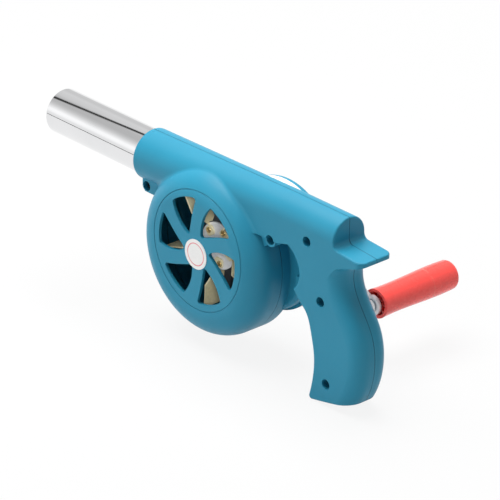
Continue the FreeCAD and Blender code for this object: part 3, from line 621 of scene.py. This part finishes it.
@dataclass(frozen=True)
class CastNylon:
    """Natural nylon for gears: cream, slightly waxy, greased where it runs."""

    name: str
    colour: Colour = (0.80, 0.78, 0.70)
    grease: Colour = (0.62, 0.55, 0.40)
    greased: Patches = Patches(140.0, 4.0, start=0.5, end=0.72)
    roughness: tuple[float, float] = (0.5, 0.24)
    glow_share: float = 0.12
    glow_reach: Place = (0.002, 0.0016, 0.001)
    glow_scale: float = 0.6
    grain: Patches = Patches(1800.0, 2.0)
    grain_depth: float = 0.00001
    edge: Edge = Edge(0.0002, 0.3, (0.88, 0.87, 0.82))

    def material(self) -> bpy.types.Material:
        """Builds the material."""
        mix = Recipe(self.name)
        grease = mix.patches(self.greased)
        soft, colour = mix.edge_wear_and_highlight(self.edge, mix.blend(grease, self.colour, self.grease))
        return mix.send(
            Base_Color=colour, Roughness=mix.spread(grease, *self.roughness, 0.0, 1.0),
            Normal=mix.bump(mix.noise(self.grain), self.grain_depth, normal=soft),
            Subsurface_Weight=self.glow_share, Subsurface_Radius=self.glow_reach,
            Subsurface_Scale=self.glow_scale)


@dataclass(frozen=True)
class PrintedLabel:
    """A white vinyl sticker, bare or with one plain red ring."""

    name: str
    centre: Place = (0.0, 0.0, 0.0)
    ring_radius: float = 0.0
    ring_width: float = 0.0
    paper: Colour = (0.88, 0.87, 0.86)
    fibre: Colour = (0.84, 0.83, 0.82)
    ink: Colour = (0.72, 0.05, 0.08)
    fibres: Patches = Patches(600.0, 4.0)
    fade: Patches = Patches(3500.0, 2.0, low=0.55, high=0.95)
    sheen: Patches = Patches(300.0, low=0.3, high=0.48)
    grain: Patches = Patches(1500.0)
    grain_depth: float = 0.000012
    ring_soft: tuple[float, float] = (0.4, 0.6)
    coat: float = 0.25
    coat_roughness: float = 0.2

    def material(self) -> bpy.types.Material:
        """Builds the material."""
        mix = Recipe(self.name)
        colour = mix.blend(mix.patches(self.fibres), self.paper, self.fibre)
        if self.ring_radius > 0:
            reach = mix.vector("LENGTH", mix.moved(self.centre, scale=(1, 0, 1))).outputs["Value"]
            off = mix.math("ABSOLUTE", mix.math("SUBTRACT", reach, self.ring_radius))
            inner, outer = (self.ring_width * share for share in self.ring_soft)
            band = mix.spread(off, 1.0, 0.0, inner, outer)
            colour = mix.blend(mix.math("MULTIPLY", band, mix.patches(self.fade)), colour, self.ink)
        return mix.send(
            Base_Color=colour, Roughness=mix.patches(self.sheen),
            Normal=mix.bump(mix.noise(self.grain), self.grain_depth),
            Coat_Weight=self.coat, Coat_Roughness=self.coat_roughness)


# The plastics' lighter edges are partly rubbing wear and partly a painted highlight along their
# rims.
PLASTIC_SCUFFS = Patches(900.0, 2.0, start=0.45, end=0.75)
MOULD_SEAM = Line("Y", (0.0, 0.0, 0.0), 0.000168, 0.00028, (0.004, 0.02, 0.035),
                  Patches(60.0, low=0.2, high=0.75))
# A moulded crease round the handle, drawn as a lighter line: the lightness is a painted highlight.
CREASE_HIGHLIGHT_LINE = Line("Y", (0.0, 0.0905, 0.0), 0.0001, 0.0006, (0.9, 0.22, 0.18),
                    Patches(120.0, start=0.42, end=0.62), 0.7)


@dataclass(frozen=True)
class Finishes:
    """Every finish of the blower."""

    # The blue plastic has painted shade in its deep narrow hollows.
    blue: MouldedPlastic = MouldedPlastic(
        "blue_housing_plastic", (0.020, 0.245, 0.380), (0.023, 0.258, 0.396),
        Edge(0.0005, 0.25, (0.06, 0.34, 0.48), PLASTIC_SCUFFS), lines=(MOULD_SEAM,),
        hollow_shade_reach=0.005)
    red: MouldedPlastic = MouldedPlastic(
        "red_handle_plastic", (0.96, 0.076, 0.064), (0.98, 0.086, 0.072),
        Edge(0.0006, 0.25, (0.9, 0.22, 0.18), PLASTIC_SCUFFS),
        sheen=Patches(160.0, 5.0, 0.65, 0.22, 0.32), grain=Patches(700.0, 2.0),
        grain_depth=0.00002, coat=0.35, lines=(CREASE_HIGHLIGHT_LINE,))
    tube: PolishedTube = PolishedTube("polished_nozzle_steel")
    zinc: PlatedSheet = PlatedSheet("zinc_plated_sheet", (0.56, 0.56, 0.58), (0.42, 0.43, 0.46))
    gold: PlatedSheet = PlatedSheet(
        "yellow_zinc_sheet", (0.90, 0.80, 0.50), (0.84, 0.76, 0.52), (0.30, 0.46), 0.6, 0.2)
    wheel: PlatedSheet = PlatedSheet(
        "grey_wheel_plate", (0.82, 0.82, 0.84), (0.74, 0.75, 0.78), (0.30, 0.46), 0.3, 0.2)
    # The front plate sits in the dark behind the fan; its near-black colour is painted shade.
    plate: PlatedSheet = PlatedSheet(
        "painted_shade_gearbox_plate", (0.16, 0.17, 0.18), (0.11, 0.115, 0.12), (0.42, 0.58), 0.9)
    nylon: CastNylon = CastNylon("gear_nylon_cream")
    screw: BlackenedScrew = BlackenedScrew("blackened_screw_steel")
    band: PrintedLabel = PrintedLabel("blank_white_band")
    steel_shades: tuple[Colour, Colour] = ((0.60, 0.60, 0.61), (0.50, 0.51, 0.53))
    brass_shades: tuple[Colour, Colour] = ((0.80, 0.60, 0.28), (0.70, 0.50, 0.22))

    def turned(self, part: str, axis: Axis) -> bpy.types.Material:
        """Bright turned steel round an axis."""
        return TurnedMetal(f"turned_steel_{part}", axis, *self.steel_shades).material()

    def brass(self, part: str, axis: Axis) -> bpy.types.Material:
        """Turned brass round an axis."""
        return TurnedMetal(f"turned_brass_{part}", axis, *self.brass_shades).material()


# Helpers for meshes


def dress(nodes: dict[str, bpy.types.Object], names: tuple[str, ...],
          material: bpy.types.Material) -> None:
    """Gives CAD nodes a material.

    Args:
        nodes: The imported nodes.
        names: The nodes that get it.
        material: What they get.
    """
    for name in names:
        slots = nodes[name].data.materials
        slots.clear()
        slots.append(material)
        log.info("dressed %s in %s", name, material.name)


class ShapeTree(Graph):
    """A Geometry Nodes tree with named inputs, which ends in plain faces with a material."""

    ROUND_STEPS = 40

    def __init__(self, name: str, **sizes: float) -> None:
        """Starts the tree.

        Args:
            name: What the tree is called.
            sizes: The named inputs and their first values, in metres or counts.
        """
        super().__init__(bpy.data.node_groups.new(name, "GeometryNodeTree"))
        self.sizes = sizes
        face = self.tree.interface
        face.new_socket("Geometry", in_out="INPUT", socket_type="NodeSocketGeometry")
        self.keys: dict[str, str] = {}
        for key, value in sizes.items():
            kind = "NodeSocketInt" if isinstance(value, int) else "NodeSocketFloat"
            self.keys[key] = face.new_socket(key, in_out="INPUT", socket_type=kind).identifier
        face.new_socket("Geometry", in_out="OUTPUT", socket_type="NodeSocketGeometry")
        self.inputs = self.add("NodeGroupInput")

    def size(self, key: str) -> Socket:
        """The tree's named input."""
        return self.inputs.outputs[key]

    def circle(self, radius: object, steps: int) -> Socket:
        """A flat circle with a number of steps round it."""
        kind = "GeometryNodeCurvePrimitiveCircle"
        return self.add(kind, Resolution=steps, Radius=radius).outputs[0]

    def ring(self, radius: object, profile: Socket, lift: object) -> Socket:
        """Sweeps a profile round the Z axis and moves the result along it.

        Args:
            radius: How far from the axis the profile runs.
            profile: The profile's curve.
            lift: How far it is moved.

        Returns:
            The moved geometry.
        """
        path = self.circle(radius, self.ROUND_STEPS)
        swept = self.add("GeometryNodeCurveToMesh", Curve=path, Profile_Curve=profile).outputs[0]
        shift = self.add("ShaderNodeCombineXYZ", Z=lift).outputs[0]
        return self.add("GeometryNodeTransform", Geometry=swept, Translation=shift).outputs[0]

    def join(self, *parts: Socket) -> Socket:
        """Puts several geometries together."""
        node = self.add("GeometryNodeJoinGeometry")
        for part in parts:
            self.feed(node.inputs[0], part)
        return node.outputs[0]

    def close(self, last: Socket, material: bpy.types.Material) -> None:
        """Ends the tree in plain faces with a material."""
        real = self.add("GeometryNodeRealizeInstances", Geometry=last).outputs[0]
        smooth = self.add("GeometryNodeSetShadeSmooth", Geometry=real).outputs[0]
        dressed = self.add("GeometryNodeSetMaterial", Geometry=smooth, Material=material).outputs[0]
        self.add("NodeGroupOutput", Geometry=dressed)

    def mesh(self, name: str, material: bpy.types.Material, place: Matrix) -> bpy.types.Object:
        """Runs the tree and keeps the result as a plain mesh at the origin.

        Args:
            name: The new piece's name.
            material: Its material.
            place: Where the tree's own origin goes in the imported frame.

        Returns:
            The piece.
        """
        host = bpy.data.objects.new(name + "_host", bpy.data.meshes.new(name + "_host"))
        bpy.context.scene.collection.objects.link(host)
        changer = host.modifiers.new(name, "NODES")
        changer.node_group = self.tree
        for key, value in self.sizes.items():
            changer[self.keys[key]] = value
        bpy.context.view_layer.update()
        seen = host.evaluated_get(bpy.context.evaluated_depsgraph_get())
        made = bpy.data.meshes.new_from_object(seen)
        bpy.data.objects.remove(host)
        made.transform(place)
        made.materials.clear()
        made.materials.append(material)
        piece = bpy.data.objects.new(name, made)
        bpy.context.scene.collection.objects.link(piece)
        log.info("made %s with %d faces", name, len(made.polygons))
        return piece


def facing_intake(x: float, y: float, z: float, turn: float = 0.0) -> Matrix:
    """Puts a tree's Z axis along -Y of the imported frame.

    Args:
        x: Where the tree's origin goes.
        y: Where the tree's origin goes.
        z: Where the tree's origin goes.
        turn: A turn about the axis, in radians, against the clock as the intake side sees it.

    Returns:
        The placing matrix.
    """
    tipped = Matrix.Rotation(math.pi / 2, 4, "X") @ Matrix.Rotation(turn, 4, "Z")
    return Matrix.Translation((x, y, z)) @ tipped


# Sub-assemblies


@dataclass
class Housing:
    """The two moulded halves, the gear cover and their screws."""

    finishes: Finishes
    shells: tuple[str, ...] = ("left_shell", "right_shell", "gear_cover")
    screws: tuple[str, ...] = ("housing_screws", "gear_cover_screws")

    def build(self, nodes: dict[str, bpy.types.Object]) -> None:
        """Dresses the housing.

        Args:
            nodes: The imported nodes.
        """
        dress(nodes, self.shells, self.finishes.blue.material())
        dress(nodes, self.screws, self.finishes.screw.material())
        dress(nodes, ("cover_label",), self.finishes.band.material())


@dataclass
class Badge:
    """The round sticker in the middle of the grille, with a plain ring in place of its print."""

    ring_share: float = 0.74
    ring_width: float = 0.0007

    def build(self, nodes: dict[str, bpy.types.Object]) -> None:
        """Dresses the sticker.

        Args:
            nodes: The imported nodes.
        """
        low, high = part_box("centre_badge")
        middle = (low + high) / 2
        radius = (high.x - low.x) / 2
        label = PrintedLabel("round_grille_sticker", tuple(middle), radius * self.ring_share,
                             self.ring_width)
        dress(nodes, ("centre_badge",), label.material())


@dataclass
class Nozzle:
    """The steel tube that the air leaves by."""

    finishes: Finishes

    def build(self, nodes: dict[str, bpy.types.Object]) -> None:
        """Dresses the tube.

        Args:
            nodes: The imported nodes.
        """
        dress(nodes, ("nozzle_tube",), self.finishes.tube.material())


@dataclass
class Impeller:
    """The fan wheel, with its hollow rivets made anew with rolled lips."""

    finishes: Finishes
    count: int = 5
    rivet_circle: float = 0.0117
    first_angle: float = math.radians(136.0)
    bore: float = 0.0010
    lip: float = 0.00055
    lip_steps: int = 14
    tail_share: float = 0.8
    tail_steps: int = 10
    wall_share: float = 0.5
    rivets: str = "impeller_rivets"

    def eyelets(self, material: bpy.types.Material) -> bpy.types.Object:
        """Hollow rivets with a rolled lip in front and a flared tail behind.

        Args:
            material: What they are dressed in.

        Returns:
            One piece with all of them.
        """
        low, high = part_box("impeller_eyelets")
        tree = ShapeTree("rolled_rivets", Count=self.count, Circle=self.rivet_circle,
                         Bore=self.bore, Lip=self.lip, Depth=high.y - low.y)
        bore, wall, depth = (tree.size(key) for key in ("Bore", "Lip", "Depth"))
        lip = tree.ring(tree.math("ADD", bore, wall), tree.circle(wall, self.lip_steps),
                        tree.math("MULTIPLY", wall, -1.0))
        flare = tree.math("MULTIPLY", wall, self.tail_share)
        tail = tree.ring(tree.math("ADD", bore, flare), tree.circle(flare, self.tail_steps),
                         tree.math("SUBTRACT", flare, depth))
        sheet = tree.add("GeometryNodeCurvePrimitiveQuadrilateral", {"mode": "RECTANGLE"},
                         Width=tree.math("SUBTRACT", depth, wall),
                         Height=tree.math("MULTIPLY", wall, self.wall_share))
        tube = tree.ring(bore, sheet.outputs[0], tree.math("MULTIPLY", depth, -0.5))
        spots = tree.add("GeometryNodeMeshCircle", Vertices=tree.size("Count"),
                         Radius=tree.size("Circle"))
        copies = tree.add("GeometryNodeInstanceOnPoints", Points=spots.outputs[0],
                          Instance=tree.join(lip, tail, tube))
        tree.close(copies.outputs[0], material)
        x, z = Axis.FAN.value
        return tree.mesh(self.rivets, material, facing_intake(x, low.y, z, self.first_angle))

    def build(self, nodes: dict[str, bpy.types.Object]) -> None:
        """Dresses the impeller and replaces its rivets.

        Args:
            nodes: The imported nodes.
        """
        brass = self.finishes.brass("fan", Axis.FAN)
        steel = self.finishes.turned("fan", Axis.FAN)
        dress(nodes, ("impeller_blades",), self.finishes.gold.material())
        dress(nodes, ("impeller_disc", "impeller_nut"), self.finishes.wheel.material())
        dress(nodes, ("impeller_hub", "impeller_eyelets"), brass)
        dress(nodes, ("fan_shaft", "fan_pinion"), steel)
        rivets = self.eyelets(brass)
        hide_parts("impeller_eyelets")
        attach(rivets, "fan")


@dataclass
class Gearbox:
    """Plates, spacers, bushes and gears between the crank and the fan."""

    finishes: Finishes

    def build(self, nodes: dict[str, bpy.types.Object]) -> None:
        """Dresses the gearbox.

        Args:
            nodes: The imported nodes.
        """
        plates = ("gearbox_back_plate", "gearbox_pillars")
        bushes = ("front_plate_bushes", "back_plate_bushes", "cover_bush")
        dress(nodes, plates, self.finishes.zinc.material())
        # painted shade: the front plate is dressed near-black
        dress(nodes, ("gearbox_front_plate",), self.finishes.plate.material())
        dress(nodes, bushes, self.finishes.brass("crank", Axis.CRANK))
        dress(nodes, ("idler_axle", "idler_pinion"), self.finishes.turned("idler", Axis.IDLER))
        dress(nodes, ("crank_gear", "idler_wheel"), self.finishes.nylon.material())
        dress(nodes, ("gearbox_screws",), self.finishes.screw.material())


@dataclass
class CrankArm:
    """The slow shaft, the cranked strip and what holds them together."""

    finishes: Finishes

    def build(self, nodes: dict[str, bpy.types.Object]) -> None:
        """Dresses the crank.

        Args:
            nodes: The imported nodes.
        """
        strip = ("crank_arm", "crank_washer", "crank_nut", "crank_shaft_clip", "handle_clip")
        dress(nodes, strip, self.finishes.zinc.material())
        dress(nodes, ("crank_shaft",), self.finishes.turned("crank", Axis.CRANK))
        dress(nodes, ("handle_pin",), self.finishes.turned("handle", Axis.HANDLE))


@dataclass
class HandleSleeve:
    """The red sleeve that turns on its pin."""

    finishes: Finishes

    def build(self, nodes: dict[str, bpy.types.Object]) -> None:
        """Dresses the sleeve.

        Args:
            nodes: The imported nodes.
        """
        dress(nodes, ("handle_grip",), self.finishes.red.material())


# Studio


@dataclass
class Softbox:
    """A large area lamp that looks at the blower."""

    name: str
    place: Place
    size: tuple[float, float]
    power: float
    colour: Colour = (1.0, 1.0, 1.0)
    lights_only: tuple[str, ...] = ()

    def build(self, target: Vector) -> None:
        """Makes the lamp.

        Args:
            target: The point it looks at.
        """
        lamp = bpy.data.lights.new(self.name, "AREA")
        lamp.shape = "RECTANGLE"
        lamp.size, lamp.size_y = self.size
        lamp.energy = self.power
        lamp.color = self.colour
        thing = bpy.data.objects.new(self.name, lamp)
        thing.location = self.place
        thing.rotation_euler = (target - Vector(self.place)).to_track_quat("-Z", "Y").to_euler()
        bpy.context.scene.collection.objects.link(thing)
        if self.lights_only:
            lit = bpy.data.collections.new(self.name + "_lit")
            for name in self.lights_only:
                lit.objects.link(bpy.data.objects[name])
            thing.light_linking.receiver_collection = lit


@dataclass
class Camera:
    """The camera of the photograph, given by what it looks at and from where."""

    target: Place = (-0.090593, 0.0, 0.028551)
    azimuth: float = 47.0109
    elevation: float = 25.7973
    roll: float = 1.268
    distance: float = 2.0
    lens: float = 233.404
    sensor: float = 36.0
    clip: tuple[float, float] = (0.1, 20.0)

    def build(self) -> None:
        """Makes the camera and gives it to the scene."""
        turn, rise = math.radians(self.azimuth), math.radians(self.elevation)
        flat = math.cos(rise)
        back = Vector((math.sin(turn) * flat, -math.cos(turn) * flat, math.sin(rise)))
        lens = bpy.data.cameras.new("camera")
        lens.lens = self.lens
        lens.sensor_width = self.sensor
        lens.clip_start, lens.clip_end = self.clip
        eye = bpy.data.objects.new("camera", lens)
        straight = (-back).to_track_quat("-Z", "Y").to_matrix().to_4x4()
        rolled = straight @ Matrix.Rotation(math.radians(self.roll), 4, "Z")
        eye.matrix_world = Matrix.Translation(Vector(self.target) + back * self.distance) @ rolled
        bpy.context.scene.collection.objects.link(eye)
        bpy.context.scene.camera = eye


@dataclass
class LightTent:
    """A half tunnel that only glossy skins see, with a slanted black flag in its roof.

    Each stop is an angle in degrees, from the intake side over the top, and a brightness.
    """

    stops: tuple[tuple[float, float], ...] = (
        (-15.6, 0.06), (-13.2, 0.06), (-12.6, 0.95), (-3.0, 0.98), (8.0, 1.20), (18.0, 1.22),
        (28.0, 1.0), (38.0, 0.80), (48.0, 0.66), (58.0, 0.58), (80.0, 0.58), (100.0, 0.75),
        (127.0, 0.80), (145.0, 0.70), (172.0, 0.72))
    flag_angle: float = 91.0
    flag_x: float = -0.537
    flag_slope: float = 240.0
    flag_half: float = 5.5
    flag_fade: float = 0.3
    flag_strength: float = 0.92
    radius: float = 0.35
    half_length: float = 0.9
    height: float = 0.0625
    segments: int = 120

    def shade(self) -> bpy.types.Material:
        """A glow that follows the angle round the tunnel."""
        mix = Recipe("light_tent_glow")
        split = mix.split((0.0, 0.0, self.height))
        turn = mix.math("ARCTAN2", split["Z"], mix.math("MULTIPLY", split["Y"], -1.0))
        angle = mix.math("DEGREES", turn)
        past = mix.math("SUBTRACT", split["X"], self.flag_x)
        slant = mix.math("MULTIPLY", past, self.flag_slope)
        off = mix.math("SUBTRACT", mix.math("SUBTRACT", angle, self.flag_angle), slant)
        inner, outer = (self.flag_half * (1.0 + side * self.flag_fade) for side in (-1, 1))
        flag = mix.spread(mix.math("ABSOLUTE", off), self.flag_strength, 0.0, inner, outer)
        return mix.send(
            Base_Color=(*BLACK, 1.0), Specular_IOR_Level=0.0, Emission_Strength=1.0,
            Emission_Color=mix.blend(flag, mix.ramp(angle, self.stops), BLACK))

    def build(self) -> None:
        """Makes the tunnel."""
        low, high = self.stops[0][0], self.stops[-1][0]
        corners, faces = [], []
        for step in range(self.segments + 1):
            angle = math.radians(low + (high - low) * step / self.segments)
            y, z = -self.radius * math.cos(angle), self.height + self.radius * math.sin(angle)
            corners += [(side * self.half_length, y, z) for side in (-1, 1)]
        for step in range(self.segments):
            first = 2 * step
            faces.append((first, first + 1, first + 3, first + 2))
        mesh = bpy.data.meshes.new("light_tent")
        mesh.from_pydata(corners, [], faces)
        mesh.materials.append(self.shade())
        tent = bpy.data.objects.new("light_tent", mesh)
        bpy.context.scene.collection.objects.link(tent)
        tent.visible_camera = False
        tent.visible_diffuse = False
        tent.visible_transmission = False
        tent.visible_shadow = False
        tent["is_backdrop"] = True


@dataclass
class Studio:
    """A white floor, a white surround and soft lamps."""

    lamps: tuple[Softbox, ...] = (
        Softbox("top_softbox", (-0.40, 0.05, 1.20), (1.2, 1.0), 30.0),
        Softbox("side_softbox", (-0.45, -1.30, 0.42), (0.9, 0.9), 4.8),
        Softbox("rear_softbox", (0.9, 0.75, 0.7), (0.7, 0.7), 1.3),
        Softbox("impeller_lamp", (0.77, -0.80, 0.60), (0.3, 0.3), 10.0, (1.0, 0.99, 0.96), (
            "impeller_blades", "impeller_disc", "impeller_rivets", "impeller_nut", "fan_shaft")),
    )
    ambient: float = 0.19
    floor_size: float = 12.0
    paper: Colour = (0.60, 0.60, 0.60)
    shadow_share: float = 0.12
    shadow_reach: tuple[float, float] = (0.25, 0.9)

    def world(self) -> None:
        """A surround that is white to the camera and in reflections, and softer as light."""
        world = bpy.data.worlds.new("studio_surround")
        world.use_nodes = True
        graph = Graph(world.node_tree)
        seen = graph.rays("Is Camera Ray", "Is Glossy Ray", "Is Transmission Ray")
        back = graph.add("ShaderNodeBackground", Color=(*WHITE, 1.0),
                         Strength=graph.spread(seen, self.ambient, 1.0, 0.0, 1.0))
        graph.add("ShaderNodeOutputWorld", Surface=back.outputs[0])
        bpy.context.scene.world = world

    def paper_material(self) -> bpy.types.Material:
        """Paper that glows white to the camera, and less so near the blower, where it has shade."""
        material = bpy.data.materials.new("studio_floor_paper")
        material.use_nodes = True
        graph = Graph(material.node_tree)
        place = graph.add("ShaderNodeTexCoord").outputs["Object"]
        away = graph.vector("LENGTH", place).outputs["Value"]
        white = graph.spread(away, 1.0 - self.shadow_share, 1.0, *self.shadow_reach)
        share = graph.math("MULTIPLY", graph.rays("Is Camera Ray", "Is Glossy Ray"), white)
        paper = graph.add("ShaderNodeBsdfDiffuse", Color=(*self.paper, 1.0))
        glow = graph.add("ShaderNodeEmission", Color=(*WHITE, 1.0))
        mixed = graph.add("ShaderNodeMixShader")
        graph.row(mixed, share, paper.outputs[0], glow.outputs[0])
        graph.add("ShaderNodeOutputMaterial", Surface=mixed.outputs[0])
        return material

    def floor(self, height: float) -> None:
        """A plain floor that is white to the camera but keeps the shadow.

        Args:
            height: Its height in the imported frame.
        """
        half = self.floor_size / 2
        corners = [(x * half, y * half, height) for x, y in ((-1, -1), (1, -1), (1, 1), (-1, 1))]
        mesh = bpy.data.meshes.new("studio_floor")
        mesh.from_pydata(corners, [], [(0, 1, 2, 3)])
        mesh.materials.append(self.paper_material())
        floor = bpy.data.objects.new("studio_floor", mesh)
        bpy.context.scene.collection.objects.link(floor)
        floor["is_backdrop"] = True

    def build(self, low: Vector, high: Vector) -> None:
        """Makes the surround, the floor and the lamps.

        Args:
            low: The lowest corner of the blower.
            high: The highest corner of the blower.
        """
        self.world()
        self.floor(low.z)
        LightTent().build()
        for lamp in self.lamps:
            lamp.build((low + high) / 2)
        bpy.context.scene.view_settings.view_transform = "Standard"


@dataclass
class Blower:
    """The whole object."""

    finishes: Finishes = field(default_factory=Finishes)

    def build(self, nodes: dict[str, bpy.types.Object]) -> None:
        """Builds and dresses every sub-assembly in order.

        Args:
            nodes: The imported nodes.
        """
        looks = self.finishes
        for part in (Housing(looks), Badge(), Nozzle(looks), Impeller(looks), Gearbox(looks),
                     CrankArm(looks), HandleSleeve(looks)):
            log.info("building %s", type(part).__name__)
            part.build(nodes)


def main() -> None:
    """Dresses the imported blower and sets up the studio."""
    logging.basicConfig(level=logging.INFO, format="%(message)s")
    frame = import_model()
    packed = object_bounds()
    Blower().build(frame["nodes"])
    Camera().build()
    Studio().build(*packed)


if __name__ == "__main__":
    main()
